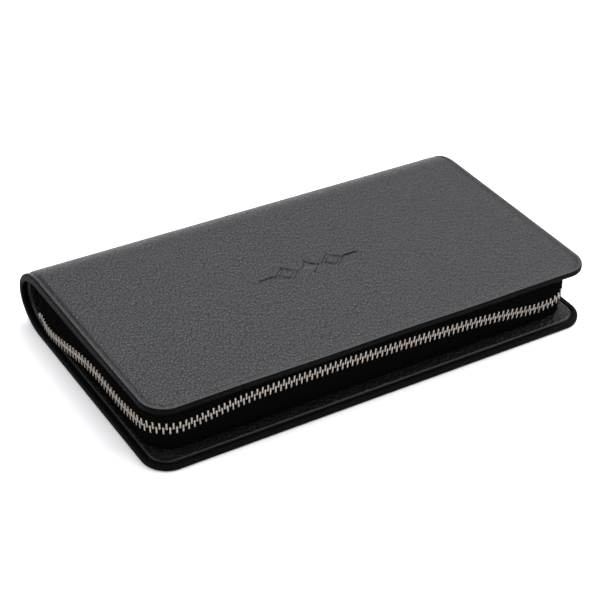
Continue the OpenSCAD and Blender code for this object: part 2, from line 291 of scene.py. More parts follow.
def loft(parts, rings, closed=True, caps=True):
    """Joins rings of the same number of points, in order."""
    rings = np.asarray(rings, float)
    rows, cols = rings.shape[:2]
    faces = grid_faces(rows, cols, closed_cols=closed)
    if caps:
        faces += [list(range(cols))[::-1], list(range((rows - 1) * cols, rows * cols))]
    parts.add(rings, faces)


def arc_points(cx, cy, r, start, end, steps):
    """Points along an arc, with its angles in degrees."""
    a = np.radians(np.linspace(start, end, steps + 1))
    return columns(cx + r * np.cos(a), cy + r * np.sin(a)).tolist()


def round_section(width, height, radius, steps=3):
    """Points round a rectangle with rounded corners, centred on zero."""
    across, up = width / 2 - radius, height / 2 - radius
    corners = ((across, up), (-across, up), (-across, -up), (across, -up))
    return np.array([point for k, (cx, cy) in enumerate(corners)
                     for point in arc_points(cx, cy, radius, 90 * k, 90 * k + 90, steps)])


def in_front_cover(points):
    """Mirrors what is drawn for a cover lying on its outer face into the front cover."""
    points = np.array(points, float)
    points[..., 2] = HEIGHT - points[..., 2]
    return points


# ---- materials
class Nodes:
    """Short names for the nodes of one material."""

    def __init__(self, name):
        self.material = bpy.data.materials.new(name)
        self.material.use_nodes = True
        self.tree = self.material.node_tree
        self.shader = self.tree.nodes["Principled BSDF"]

    def add(self, kind, inputs=None, **settings):
        node = self.tree.nodes.new(kind)
        for key, value in settings.items():
            setattr(node, key, value)
        for key, value in (inputs or {}).items():
            self.put(node.inputs[key], value)
        return node

    def put(self, socket, value):
        if isinstance(value, bpy.types.NodeSocket):
            self.tree.links.new(value, socket)
        else:
            socket.default_value = value

    def math(self, operation, a, b):
        return self.add("ShaderNodeMath", {0: a, 1: b}, operation=operation).outputs[0]

    def total(self, *shares):
        """The sum of values, each times its own number."""
        terms = [self.math("MULTIPLY", value, share) for value, share in shares]
        out = terms[0]
        for term in terms[1:]:
            out = self.math("ADD", out, term)
        return out

    def shift(self, value, share, offset):
        return self.math("ADD", self.math("MULTIPLY", value, share), offset)

    def finish(self, colour, roughness, normal):
        """Links the shader's three varying inputs."""
        for socket, value in (("Base Color", colour), ("Roughness", roughness), ("Normal", normal)):
            self.put(self.shader.inputs[socket], value)
        return self.material

    def ramp(self, value, *stops):
        node = self.add("ShaderNodeValToRGB", {"Fac": value})
        elements = node.color_ramp.elements
        while len(elements) < len(stops):
            elements.new(0.5)
        for element, (position, grey) in zip(elements, stops):
            element.position = position
            element.color = (*grey, 1) if isinstance(grey, tuple) else (grey, grey, grey, 1)
        return node.outputs["Color"]

    def noise(self, vector, scale, detail=3.0, roughness=0.5):
        node = self.add("ShaderNodeTexNoise", {"Vector": vector, "Scale": scale, "Detail": detail,
                                               "Roughness": roughness})
        return node.outputs["Fac"]

    def bump(self, height, distance_mm, strength=1.0):
        inputs = {"Height": height, "Distance": distance_mm * MM, "Strength": strength}
        return self.add("ShaderNodeBump", inputs).outputs["Normal"]

    def place(self, flat=False):
        """Coordinates in mm: of the flat leather, or of the piece."""
        if flat:
            source = self.add("ShaderNodeAttribute", attribute_name="flat_place").outputs["Vector"]
        else:
            source = self.add("ShaderNodeTexCoord").outputs["Object"]
        return self.add("ShaderNodeVectorMath", {0: source, 3: 1 / MM}, operation="SCALE").outputs[0]


def leather(name, colour, roughness, pebble=1.3, depth=0.33, flat=False, specular=0.5):
    """Pebbled leather: rounded cells with creases between them, over fine pores. The creases are painted
    darker, as painted shade.
    """
    m = Nodes(name)
    place = m.place(flat)
    drift = m.add("ShaderNodeTexNoise", {"Vector": place, "Scale": 0.9, "Detail": 2.0}).outputs["Color"]
    moved = m.add("ShaderNodeVectorMath", {0: drift, 3: 1.1}, operation="SCALE").outputs[0]
    warped = m.add("ShaderNodeVectorMath", {0: place, 1: moved}, operation="ADD").outputs[0]
    # The hide's cells are a little longer than wide
    cells = m.add("ShaderNodeMapping", {"Vector": warped, "Rotation": (0, 0, -0.98), "Scale": (1.35, 1, 1)},
                  vector_type="TEXTURE").outputs[0]
    edge = m.add("ShaderNodeTexVoronoi", {"Vector": cells, "Scale": 1 / pebble},
                 feature="DISTANCE_TO_EDGE").outputs["Distance"]
    cell = m.add("ShaderNodeTexVoronoi", {"Vector": cells, "Scale": 1 / pebble, "Smoothness": 0.35},
                 feature="SMOOTH_F1")
    middle = m.math("POWER", cell.outputs["Distance"], 2.0)
    rise = m.math("SUBTRACT", 1.0, m.math("MULTIPLY", middle, 1.6))
    crease = m.ramp(edge, (0.0, 0.0), (0.1, 0.7), (0.24, 1.0))
    dome = m.total((rise, 0.85), (crease, 0.25))
    wide = m.noise(place, 0.12, 2.0)
    pores = m.noise(place, 3.0, 2.0)
    height = m.math("ADD", dome, m.math("MULTIPLY", pores, 0.2))
    if flat:
        grain = m.add("ShaderNodeAttribute", attribute_name="grain").outputs["Fac"]
        height = m.math("MULTIPLY", height, grain)
    # The colour is painted darker in the creases between the cells, as painted shade, with a slow random
    # tone on top
    crease_shade_and_tone = m.total((crease, 0.7), (wide, 0.3))
    dark, light = (tuple(c * k for c in colour) for k in (0.35, 1.3))
    rough = m.math("SUBTRACT", m.shift(wide, 0.1, roughness + 0.08), m.math("MULTIPLY", crease, 0.15))
    m.shader.inputs["Specular IOR Level"].default_value = specular
    return m.finish(m.ramp(crease_shade_and_tone, (0.1, dark), (0.9, light)), rough, m.bump(height, depth))


def cloth(name, colour, pitch=0.55, depth=0.08, twill=True, specular=0.2):
    """Woven cloth: slanted twill ribs, or the tape's herringbone."""
    m = Nodes(name)
    split = m.add("ShaderNodeSeparateXYZ", {"Vector": m.place()})
    a, b, c = split.outputs
    b = m.math("ADD", b, c)
    if twill:
        slant = m.math("ADD", a, b)
    else:
        zigzag = m.math("PINGPONG", m.math("ADD", b, 200.0), 0.9)
        slant = m.math("ADD", a, m.math("MULTIPLY", zigzag, 1.2))
    rib = m.math("DIVIDE", m.math("PINGPONG", slant, pitch / 2), pitch / 2)
    cross = m.math("DIVIDE", m.math("PINGPONG", m.math("SUBTRACT", a, b), pitch / 2.4), pitch / 2.4)
    fuzz = m.noise(m.place(), 6.0, 3.0)
    height = m.total((rib, 0.7), (cross, 0.3), (fuzz, 0.35))
    dark, light = (tuple(v * k for v in colour) for k in (0.5, 1.35))
    m.shader.inputs["Specular IOR Level"].default_value = specular
    # The colour follows the weave's height: painted shade in its low parts, and a random tone from the fuzz
    return m.finish(m.ramp(height, (0.15, dark), (1.0, light)), m.shift(fuzz, 0.15, 0.72),
                    m.bump(height, depth))


def metal(name, colour, roughness=0.28):
    """Antique nickel: tarnish in patches, fine scratches and slightly uneven polish."""
    m = Nodes(name)
    place = m.place()
    patches = m.noise(place, 0.35, 4.0, 0.6)
    fine = m.noise(place, 9.0, 3.0)
    tone = m.total((patches, 0.7), (fine, 0.3))
    dark = tuple(c * f for c, f in zip(colour, (0.62, 0.56, 0.5)))
    m.shader.inputs["Metallic"].default_value = 1.0
    return m.finish(m.ramp(tone, (0.3, dark), (0.62, colour)), m.shift(patches, 0.3, roughness - 0.12),
                    m.bump(fine, 0.01, 0.5))


def board_material():
    m = Nodes("grey_board")
    fibres = m.noise(m.place(), 2.0, 5.0, 0.7)
    colour = m.ramp(fibres, (0.3, (0.23, 0.21, 0.18)), (0.7, (0.45, 0.42, 0.37)))
    return m.finish(colour, m.shift(fibres, 0.1, 0.82), m.bump(fibres, 0.05))


def thread_material():
    m = Nodes("black_thread")
    split = m.add("ShaderNodeSeparateXYZ", {"Vector": m.place()})
    lay = m.math("ADD", m.math("ADD", split.outputs[0], split.outputs[1]), split.outputs[2])
    ply = m.math("DIVIDE", m.math("PINGPONG", lay, 0.2), 0.2)
    # The colour follows the ply's height: painted shade in the grooves between the plies
    return m.finish(m.ramp(ply, (0.0, 0.012), (1.0, 0.05)), m.shift(ply, 0.1, 0.55), m.bump(ply, 0.06))


OUTER = leather("outer_leather", (0.0138, 0.0141, 0.0154), 0.4, flat=True, specular=0.3)
# The cut edge is matte edge paint, and its colour is painted far darker than the face's, as painted shade on
# the edge's sides
EDGE = leather("edge_leather_with_painted_shade", (0.0028, 0.0028, 0.003), 0.45, flat=True, specular=0.02)
# The facing, also used for the spine's lining, is the same leather painted much darker, as painted shade for
# the shade under the covers
FACING = leather("facing_leather", (0.0025, 0.0025, 0.0028), 0.38, depth=0.32, flat=True, specular=0.24)
POCKET = leather("pocket_leather", (0.012, 0.012, 0.013), 0.45, pebble=1.0, depth=0.14, specular=0.3)
LINING = cloth("lining_twill", (0.02, 0.0205, 0.023))
# The zip tape is black, and its colour is darkened further as painted shade for the shade between the covers
TAPE = cloth("zip_tape_weave", (0.0024, 0.0024, 0.0024), pitch=0.5, depth=0.1, twill=False, specular=0.0)
TOOTH_METAL = metal("tooth_nickel", (0.4, 0.36, 0.325), 0.34)
SLIDER_METAL = metal("slider_nickel", (0.5, 0.46, 0.42), 0.28)
BOARD = board_material()
THREAD = thread_material()
BY_SLOT = {"zip_teeth_metal": TOOTH_METAL, "slider_metal": SLIDER_METAL, "pocket_leather": POCKET,
           "lining_fabric": LINING, "zip_tape": TAPE}


# ---- the leather wrap
DEEP = 9.0
END_MARGIN = 4.0
# Across the edge, as (distance in from the edge, depth): the outer face's crease, the rounded edge,
# and the leather turned over onto the inner face
OUTER_EDGE = [(DEEP, 0), (7, 0), (6, 0), (5.2, 0.01), (4.6, 0.04), (4.1, 0.1), (3.7, 0.17), (3.35, 0.27),
              (3.05, 0.4), (2.85, 0.52), (2.65, 0.64), (2.5, 0.66), (2.35, 0.6), (2.2, 0.46), (2.05, 0.34),
              (1.85, 0.24), (1.6, 0.17), (1.3, 0.14), (1.0, 0.15), (0.75, 0.19), (0.5, 0.26), (0.3, 0.38),
              (0.16, 0.54), (0.07, 0.78), (0.02, 1.1), (0.03, 1.5), (0.1, 1.72), (0.09, 1.84), (0.0, 2.02),
              (0.02, 2.4), (0.12, 2.66), (0.35, 2.9), (0.7, 3.05), (1.1, 3.1), (1.6, 3.09), (2.1, 3.04),
              (2.45, 2.93), (2.65, 2.7), (2.72, 2.3), (2.74, 1.5), (2.9, LEATHER_T), (4, LEATHER_T),
              (DEEP, LEATHER_T)]


def edge_grain(d, n):
    """How strong the leather's grain is at a point of the edge's profile."""
    return 1.0 if d > 3.2 else 0.5 if n < 0.24 or d > 1.4 > 2 * n else 0.2


GRAIN_BY_EDGE = [edge_grain(d, n) for d, n in OUTER_EDGE]


def facing_edge(low):
    return [(DEEP, COVER_T), (6, COVER_T), (5, COVER_T), (4.5, 3.38), (4.1, 3.32), (3.75, 3.2), (3.45, 3.0),
            (3.2, 2.72), (3.0, 2.4), (2.85, 2.1), (2.7, 1.9), (2.7, low + 0.2), (2.9, low), (4, low),
            (DEEP, low)]


def inner_grains(profile):
    return [float(smooth(3.4, 4.6, d)) for d, _ in profile]


# The debossed ornament, centred on the front cover: a star between lozenges and bars
ORNAMENT_X, ORNAMENT_Y, ORNAMENT_DEPTH = -1.5, -1.5, 0.85
# The mesh is fine over this span in x, and this far to each side in y
ORNAMENT_SPAN, ORNAMENT_HALF = (-27.5, 24.5), 5.5


def ornament(x, y):
    """How deep the ornament is pressed at places on the front cover, from 0 to 1."""
    x, y = np.abs(x - ORNAMENT_X), np.abs(y - ORNAMENT_Y)
    star = (x ** 0.72 + y ** 0.72) ** (1 / 0.72) - 5.6
    lozenge = np.abs((np.abs(x - 12.2) + 1.15 * y - 5.0) * 0.7) - 0.75
    bars = np.hypot(np.maximum(np.abs(x - 22.6) - 3.2, 0), y) - 1.05
    return 1 - smooth(-0.24, 0.24, np.minimum(np.minimum(star * 0.7, lozenge), bars))


def puff(x, y):
    """Slow unevenness of soft leather glued over board."""
    return (0.10 * np.sin(x * 0.041 + 0.7) * np.cos(y * 0.052 + 0.4)
            + 0.06 * np.sin(x * 0.093 + y * 0.071 + 1.9) + 0.04 * np.cos(x * 0.17 - y * 0.13))


# How far in the front cover's free edge is moved, how far back it goes, and how it is lifted:
# by an amount, less towards the right, with a wave
PULLED_REACH, PULLED_BACK = 38, 0.9
LIFT, LIFT_FALL, WAVE, WAVE_TURN, WAVE_START = 0.3, 0.002, 0.15, 0.08, 1.0


class Cover:
    """Maps distances from a cover's free edge to the wrap, and adds the relief of soft leather."""

    def __init__(self, front):
        self.front = front
        self.edge_y = FRONT_EDGE_Y if front else BACK_EDGE_Y
        self.length = SPINE_Y - self.edge_y
        self.body = "front_cover" if front else "back_cover"
        self.end = self.length - END_MARGIN

    def s(self, q):
        return ARC + self.length - q if self.front else -self.length + q

    def points(self, x, q, n, outer):
        """x and q are places on the cover, n depths. outer is True for points on the outer face."""
        y = q + self.edge_y
        inside = smooth(4.2, 10, np.minimum(HALF - np.abs(x), q)) * smooth(0, 12, self.length - 2 - q)
        relief = np.zeros_like(x)
        if outer:
            relief = 0.5 * (0.12 - puff(x, y)) * inside
            if self.front:
                relief = relief + ORNAMENT_DEPTH * ornament(x, y)
        places = wrap(x, self.s(q), n + relief)
        if self.front:
            free = 1 - smooth(0, PULLED_REACH, q)
            places[..., 1] += free * PULLED_BACK
            places[..., 2] += free * (LIFT - LIFT_FALL * x + WAVE * np.sin(x * WAVE_TURN + WAVE_START))
        return places


ARC_STEPS, COVER_STEP = 12, 2.2
FRONT_X = stations_fine(-(HALF - CORNER_R), HALF - CORNER_R, 2.4, *ORNAMENT_SPAN, 0.42)


def cover_outline(inset, side_q):
    """The open outline of a cover at one inset: left side, front, right side. Returns x and q."""
    angles = np.radians(np.linspace(180, 270, ARC_STEPS + 1))[1:-1]
    arc_x = -(HALF - CORNER_R) + (CORNER_R - inset) * np.cos(angles)
    arc_q = CORNER_R + (CORNER_R - inset) * np.sin(angles)
    side_x = np.full(len(side_q), HALF - inset)
    x = np.concatenate([-side_x, arc_x, FRONT_X, -arc_x[::-1], side_x])
    q = np.concatenate([side_q, arc_q, np.full(len(FRONT_X), inset), arc_q[::-1], side_q[::-1]])
    return x, q


def section_stations():
    """x of the section's inner columns where a cover meets the spine."""
    x, _ = cover_outline(DEEP, np.array([1.0]))
    inner = x[ARC_STEPS // 2:len(x) - ARC_STEPS // 2]
    return inner * (HALF - DEEP) / inner[-1]


SECTION_X = section_stations()


def cover_sheet(name, cover, profile, grains, node, mat):
    """A cover's leather as one closed skin, by rings from its outer face round its edge to its inner."""
    outside = mat is OUTER
    side_q = stations(CORNER_R, cover.end, COVER_STEP)
    if cover.front and outside:
        low_q, high_q = (cover.length - SPINE_Y + ORNAMENT_Y + k for k in (-ORNAMENT_HALF, ORNAMENT_HALF))
        side_q = stations_fine(CORNER_R, cover.end, COVER_STEP, low_q, high_q, 0.4)
    verts, flats, kinds = [], [], []

    def lay(x, q, n, grain):
        verts.append(cover.points(x, q, np.full(len(x), float(n)), outside and n < 0.1))
        flats.append(columns(x, cover.s(q), n))
        kinds.append(grain + 0 * x)

    for (inset, n), grain in zip(profile, grains):
        x, q = cover_outline(inset, side_q[::-1])
        lay(x, q, n, grain)
    faces = grid_faces(len(profile), len(x))
    ring = columns(x, q)
    first = len(side_q) - 1 + ARC_STEPS // 2
    last = len(x) - 1 - first
    fill = coons(ring[first:last + 1], columns(SECTION_X, cover.end), ring[:first + 1][::-1], ring[last:])
    x, q = fill[..., 0].ravel(), fill[..., 1].ravel()
    pressed = ornament(x, q + FRONT_EDGE_Y) if cover.front else 0
    for _, n in (profile[0], profile[-1]):
        faces += grid_faces(*fill.shape[:2], sum(map(len, verts)))
        lay(x, q, n, 1 - 0.6 * pressed)
    make(name, np.concatenate(verts), faces, cover.body, node, mat, flat=np.concatenate(flats),
         grain=np.concatenate(kinds), angle=50, edge_mat=EDGE if outside else None)


def spine_section(profile, grains):
    """The closed cross-section (x, depth, grain) that the covers end in, for the spine to carry on."""
    edge = [(HALF - d, n, g) for (d, n), g in zip(profile, grains)]
    outer = [(x, profile[0][1], 1.0) for x in SECTION_X[1:-1]]
    inner = [(x, profile[-1][1], 1.0) for x in SECTION_X[1:-1][::-1]]
    left = [(-x, n, g) for x, n, g in edge[::-1]]
    return np.array(outer + edge + inner + left)


def spine_sheet(name, s_from, s_to, profile, grains, bodies, inset, node, mat, edge_mat=None):
    """One stretch of the wrap round the spine, baked in place and attached to no body."""
    section = spine_section(profile, grains)
    along = stations(s_from, s_to, 0.7)
    x, n, g = (np.tile(section[:, i], (len(along), 1)) for i in range(3))
    s = np.repeat(along[:, None], len(section), axis=1)
    verts, flats = wrap(x, s, n).reshape(-1, 3), columns(x, s, n).reshape(-1, 3)
    piece = make(name, verts, grid_faces(len(along), len(section), closed_cols=True), None, node, mat,
                 flat=flats, grain=g.ravel(), angle=50, edge_mat=edge_mat)
    start, end = (wrap(0, place, COVER_T / 2) for place in (s_from + inset, s_to - inset))
    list(bodies)
    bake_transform(piece)


back, front = Cover(False), Cover(True)
inner_profile = facing_edge(FACING_N)
for side, cover in (("back", back), ("front", front)):
    cover_sheet(f"{side}_outer_leather", cover, OUTER_EDGE, GRAIN_BY_EDGE, f"{side}_leather",
                OUTER)
for side, cover in (("back", back), ("front", front)):
    cover_sheet(f"{side}_facing_leather", cover, inner_profile, inner_grains(inner_profile),
                f"{side}_facing", FACING)

# The spine's leather and its lining, in four stretches that meet in the middle of the CAD strips
fold_s = [0.0] + [arc_at([v / MM for v in joints[f"spine_fold_{k}"]["pos_m"]]) for k in (2, 3)] + [ARC]
meets = [-END_MARGIN] + [(a + b) / 2 for a, b in zip(fold_s, fold_s[1:])] + [ARC + END_MARGIN]
SPINE_BODIES = ["back_cover", "spine_lower", "spine_middle", "spine_upper", "front_cover"]
STRIPS = ["lower", "middle", "upper"]
SEAM_INSET = [1.0, 2.4, 2.4, 1.0]
lining_profile = facing_edge(LEATHER_T + 0.05)
lining_grains = inner_grains(lining_profile)
for k in range(4):
    pair, strip = SPINE_BODIES[k:k + 2], STRIPS[min(k, 2)]
    spine_sheet(f"spine_leather_{k + 1}", meets[k], meets[k + 1], OUTER_EDGE, GRAIN_BY_EDGE, pair,
                SEAM_INSET[k], f"spine_leather_{strip}", OUTER, EDGE)
    spine_sheet(f"spine_lining_{k + 1}", meets[k], meets[k + 1], lining_profile, lining_grains, pair,
                SEAM_INSET[k], f"spine_lining_{strip}", FACING)

# ---- the main zip
CORNER_Y = ZIP_FRONT_Y + ZIP_R
SIDE_RUN = TAPE_END_Y - CORNER_Y
TURN_RUN = ZIP_R * pi / 2
FRONT_RUN = 2 * (ZIP_HALF - ZIP_R)
TAPE_RUN = 2 * SIDE_RUN + 2 * TURN_RUN + FRONT_RUN
# The chain's path, as (distance along the tape, height of its middle, how far it leans outwards): it
# lies low near the left end of the spine, rides up along the front, sags at the right corner and is
# straight where the slider runs
CHAIN = np.array([(-9, 7.6, 0), (0, 7.3, 0.6), (5, 6.9, 1.8), (11, 6.9, 2.7), (17, 7.4, 3.0), (24, 8.4, 2.8),
                  (41, 11.5, 1.8), (50, 12.5, 1.3), (60, 12.7, 1.0), (80, 12.1, 1.0), (106, 15.1, 0.6),
                  (120, 15.5, 0.4), (142, 18.1, 0.4), (152, 18.7, 0.4), (192, 18.8, 0.4), (235, 17.4, 0.4),
                  (262, 16.3, 0.5), (280, 14.9, 0.9), (294, 12.9, 1.1), (304, 12.2, 1.1), (311, 12.8, 0.7),
                  (322, HALF_HEIGHT, 0), (450, HALF_HEIGHT, 0)])


def zip_place(t, outward=0.0):
    """Place and outward direction of the zip at distance t from its left end."""
    t = np.asarray(t, float)
    first_turn = np.clip((t - SIDE_RUN) / ZIP_R, 0, pi / 2)
    second_turn = np.clip((t - SIDE_RUN - TURN_RUN - FRONT_RUN) / ZIP_R, 0, pi / 2)
    angle = first_turn + second_turn - pi / 2
    cx = ZIP_R - ZIP_HALF + np.clip(t - SIDE_RUN - TURN_RUN, 0, FRONT_RUN)
    cy = CORNER_Y + np.maximum(SIDE_RUN - t, 0) + np.maximum(t - (TAPE_RUN - SIDE_RUN), 0)
    nx, ny = np.sin(angle), -np.cos(angle)
    reach = ZIP_R + outward
    return cx + nx * reach, cy + ny * reach, nx, ny


def chain_at(t, column):
    """The chain's height (column 1) or outward lean (column 2) at distances along the tape."""
    near = np.linspace(-4, 4, 9)
    return np.mean([np.interp(t + d, CHAIN[:, 0], CHAIN[:, column]) for d in near], axis=0)


def chain_point(t):
    """The chain's middle, and the level direction that faces outwards there."""
    x, y, nx, ny = zip_place(t, chain_at(t, 2))
    return np.array([x, y, chain_at(t, 1)], float), np.array([nx, ny, 0], float)


def zip_tape(name, body, node, front_side):
    """A woven wall with a sewn hem at the cover, and a corded edge where the teeth grip it."""
    t = np.unique(np.concatenate([stations(0, SIDE_RUN, 2), stations(SIDE_RUN, SIDE_RUN + TURN_RUN, 1.2),
                                  stations(SIDE_RUN + TURN_RUN, SIDE_RUN + TURN_RUN + FRONT_RUN, 2.5),
                                  stations(TAPE_RUN - SIDE_RUN - TURN_RUN, TAPE_RUN - SIDE_RUN, 1.2),
                                  stations(TAPE_RUN - SIDE_RUN, TAPE_RUN, 2.5)]))
    # Its tails stand clear of the spine's curve
    tail = TAPE_END_Y - SPINE_Y + 1.2
    ramp = smooth(tail, tail + 3, np.minimum(t, TAPE_RUN - t))
    low = COVER_T + 0.05 + (1 - ramp) * 1.8
    middle, lean = chain_at(t, 1), chain_at(t, 2)
    middle = HEIGHT - middle if front_side else middle
    top = np.maximum(middle - 2.35, low + 1.1)
    half, hem = TAPE_T / 2, 5.0
    shape = [(-half - hem * ramp, low), (-half - hem * ramp, low + 0.55 * ramp + 0.1),
             (-half * 2.2, low + 0.62 * ramp + 0.15)]
    steps = (0.3, 0.55, 0.8)
    for f in steps:
        shape.append((-half + lean * smooth(0, 1, f), low + (top - 0.6 - low) * f))
    bead = [(-half, -0.6), (-0.62, -0.15), (-0.66, 0.3), (-0.35, 0.6), (0.35, 0.6), (0.66, 0.3),
            (0.62, -0.15), (half, -0.6)]
    shape += [(w + lean, top + z) for w, z in bead]
    for f in steps[::-1]:
        shape.append((half + lean * smooth(0, 1, f), low + (top - 0.6 - low) * f))
    shape += [(half, low + 0.3), (half, low)]
    rings = np.stack([columns(*zip_place(t, w)[:2], z) for w, z in shape], axis=1)
    parts = Parts()
    loft(parts, in_front_cover(rings) if front_side else rings)
    parts.make(name, body, node=node, slot="zip_tape", angle=60)


# A tooth from root to tip, as (height, half length along the chain, half thickness)
TOOTH = [(-3.0, 0.26, 0.7), (-2.85, 0.38, 0.82), (-2.5, 0.42, 0.88), (-1.5, 0.42, 0.88), (-0.9, 0.38, 0.82),
         (-0.4, 0.43, 0.84), (0.2, 0.48, 0.84), (0.6, 0.43, 0.76), (0.8, 0.28, 0.6)]


TEETH_IN_SLIDER = 2.8


def tooth_rings(scale=1.0):
    rings = []
    for z, along, out in TOOTH:
        section = round_section(2 * along, 2 * out, min(along, out) * 0.42, 2)
        rings.append(columns(*section.T, z) * scale)
    return np.array(rings)


def zip_teeth(name, body, node, front_side, phase):
    start = TAPE_END_Y - box_mm("lower_zip_teeth")[1].y + 0.55
    # The frame's row stops short of the slider; the real one runs into its groove, up to the wedge
    stop_y = sum(corner.y for corner in box_mm("zip_slider")) / 2 + TEETH_IN_SLIDER
    run = TAPE_RUN - (TAPE_END_Y - stop_y) - start
    tooth = tooth_rings()
    parts = Parts()
    for i in range(floor(run / TOOTH_PITCH)):
        t = start + (i + phase) * TOOTH_PITCH
        middle, outward = chain_point(t)
        heading = chain_point(t + 0.5)[0] - chain_point(t - 0.5)[0]
        heading /= np.linalg.norm(heading)
        outward -= heading * (outward @ heading)
        outward /= np.linalg.norm(outward)
        up = np.cross(outward, heading)
        # The chain twists as it leans outwards
        up = up * np.sign(up[2]) + outward * 0.03 * chain_at(t, 2)
        up *= (-1 if front_side else 1) / np.linalg.norm(up)
        world = tooth[..., :1] * heading + tooth[..., 1:2] * outward + tooth[..., 2:] * up + middle
        loft(parts, world)
    parts.make(name, body, node=node, slot="zip_teeth_metal", angle=38)


zip_tape("lower_tape", "back_cover", "lower_zip_tape", False)
zip_tape("upper_tape", "front_cover", "upper_zip_tape", True)
zip_teeth("lower_teeth", "back_cover", "lower_zip_teeth", False, 0)
zip_teeth("upper_teeth", "front_cover", "upper_zip_teeth", True, 0.5)

# ---- zip stops, sliders and pulls
STOP_LENGTH, STOP_HALF = 1.7, 1.35


def zip_stop(name, body, node, t, low, high):
    """A stop squeezed round the zip at distance t along the tape, from one height to another."""
    (x, y, _), outward = chain_point(t)
    heading = np.array([-outward[1], outward[0], 0])
    rings = []
    for f, grow in ((0, 0.7), (0.08, 0.92), (0.2, 1), (0.5, 1.04), (0.8, 1), (0.92, 0.92), (1, 0.7)):
        section = round_section(STOP_LENGTH * grow, 2 * STOP_HALF * grow, 0.4, 3)
        rings.append((x, y, low + (high - low) * f) + section[:, :1] * heading + section[:, 1:] * outward)
    parts = Parts()
    loft(parts, rings)
    parts.make(name, body, node=node, slot="zip_teeth_metal", angle=40)


for side, body in (("lower", "back_cover"), ("upper", "front_cover")):
    stop_low, stop_high = box_mm(f"{side}_top_stop")
    stop_t = TAPE_RUN - (TAPE_END_Y - (stop_low.y + stop_high.y) / 2)
    zip_stop(f"{side}_stop", body, f"{side}_top_stop", stop_t, stop_low.z, stop_high.z)
first_stop_t = TAPE_END_Y - (box_mm("zip_bottom_stop")[0].y + TAPE_END_Y) / 2
bottom_z = float(chain_at(first_stop_t, 1))
zip_stop("bottom_stop", "back_cover", "zip_bottom_stop", first_stop_t, bottom_z - 1.8, bottom_z + 1.8)

slider_low, slider_high = box_mm("zip_slider")
SLIDER_Y = (slider_low.y + slider_high.y) / 2
BAIL = joints["zip_pull_hinge"]["pos_m"][0] / MM - ZIP_HALF
pocket_slider_low, pocket_slider_high = box_mm("pocket_zip_slider")
POCKET_SCALE = (pocket_slider_high.x - pocket_slider_low.x) / (slider_high.y - slider_low.y)
POCKET_SLIDER_X, POCKET_ZIP_Y = (v / MM for v in joints["pocket_zip_pull_hinge"]["pos_m"][:2])
pocket_tape_low, pocket_tape_high = box_mm("pocket_zip_tapes")
POCKET_ZIP_Z = HEIGHT - (pocket_tape_low.z + pocket_tape_high.z) / 2


def main_zip_place(points):
    """Places (along, across, outward) points of a zip's hardware on the main zip."""
    a, w, o = np.moveaxis(np.asarray(points, float), -1, 0)
    return columns(ZIP_HALF + o, SLIDER_Y + a, HALF_HEIGHT + w)


def pocket_zip_place(points):
    a, w, o = np.moveaxis(np.asarray(points, float) * POCKET_SCALE, -1, 0)
    return in_front_cover(columns(POCKET_SLIDER_X - a, POCKET_ZIP_Y - w, POCKET_ZIP_Z + o))


def inset_loop(loop, d):
    """Moves a closed outline, drawn counter-clockwise, inwards by d."""
    loop = np.asarray(loop, float)
    edge = np.roll(loop, -1, 0) - loop
    normal = np.stack([-edge[:, 1], edge[:, 0]], axis=-1)
    normal /= np.linalg.norm(normal, axis=1)[:, None]
    mean = normal + np.roll(normal, 1, 0)
    mean /= np.maximum((mean ** 2).sum(1) / 2, 0.35)[:, None]
    return loop + d * mean


def prism(parts, loop, low, high, bevel, place, steps=3):
    """A solid over a closed outline, with rounded rims."""
    angles = np.linspace(0, pi / 2, steps + 1)
    rims = [(bevel * (1 - sin(a)), low + bevel * (1 - cos(a))) for a in angles]
    rims += [(bevel * (1 - sin(a)), high - bevel * (1 - cos(a))) for a in angles[::-1]]
    rings = []
    for d, level in rims:
        rings.append(place(columns(*inset_loop(loop, d).T, level)))
    loft(parts, rings)


PLATE_EDGE = [(-5.45, 2.4), (-5.15, 3.4), (-4.4, 4.0), (-2.5, 4.2), (0.5, 4.35), (3.0, 4.5), (4.3, 4.4),
              (5.1, 3.8), (5.45, 2.8), (5.35, 1.7), (4.8, 0.6)]
PLATE_IN, PLATE_OUT, SLIT, GROOVE_HALF = 1.45, 2.45, 0.6, 3.5


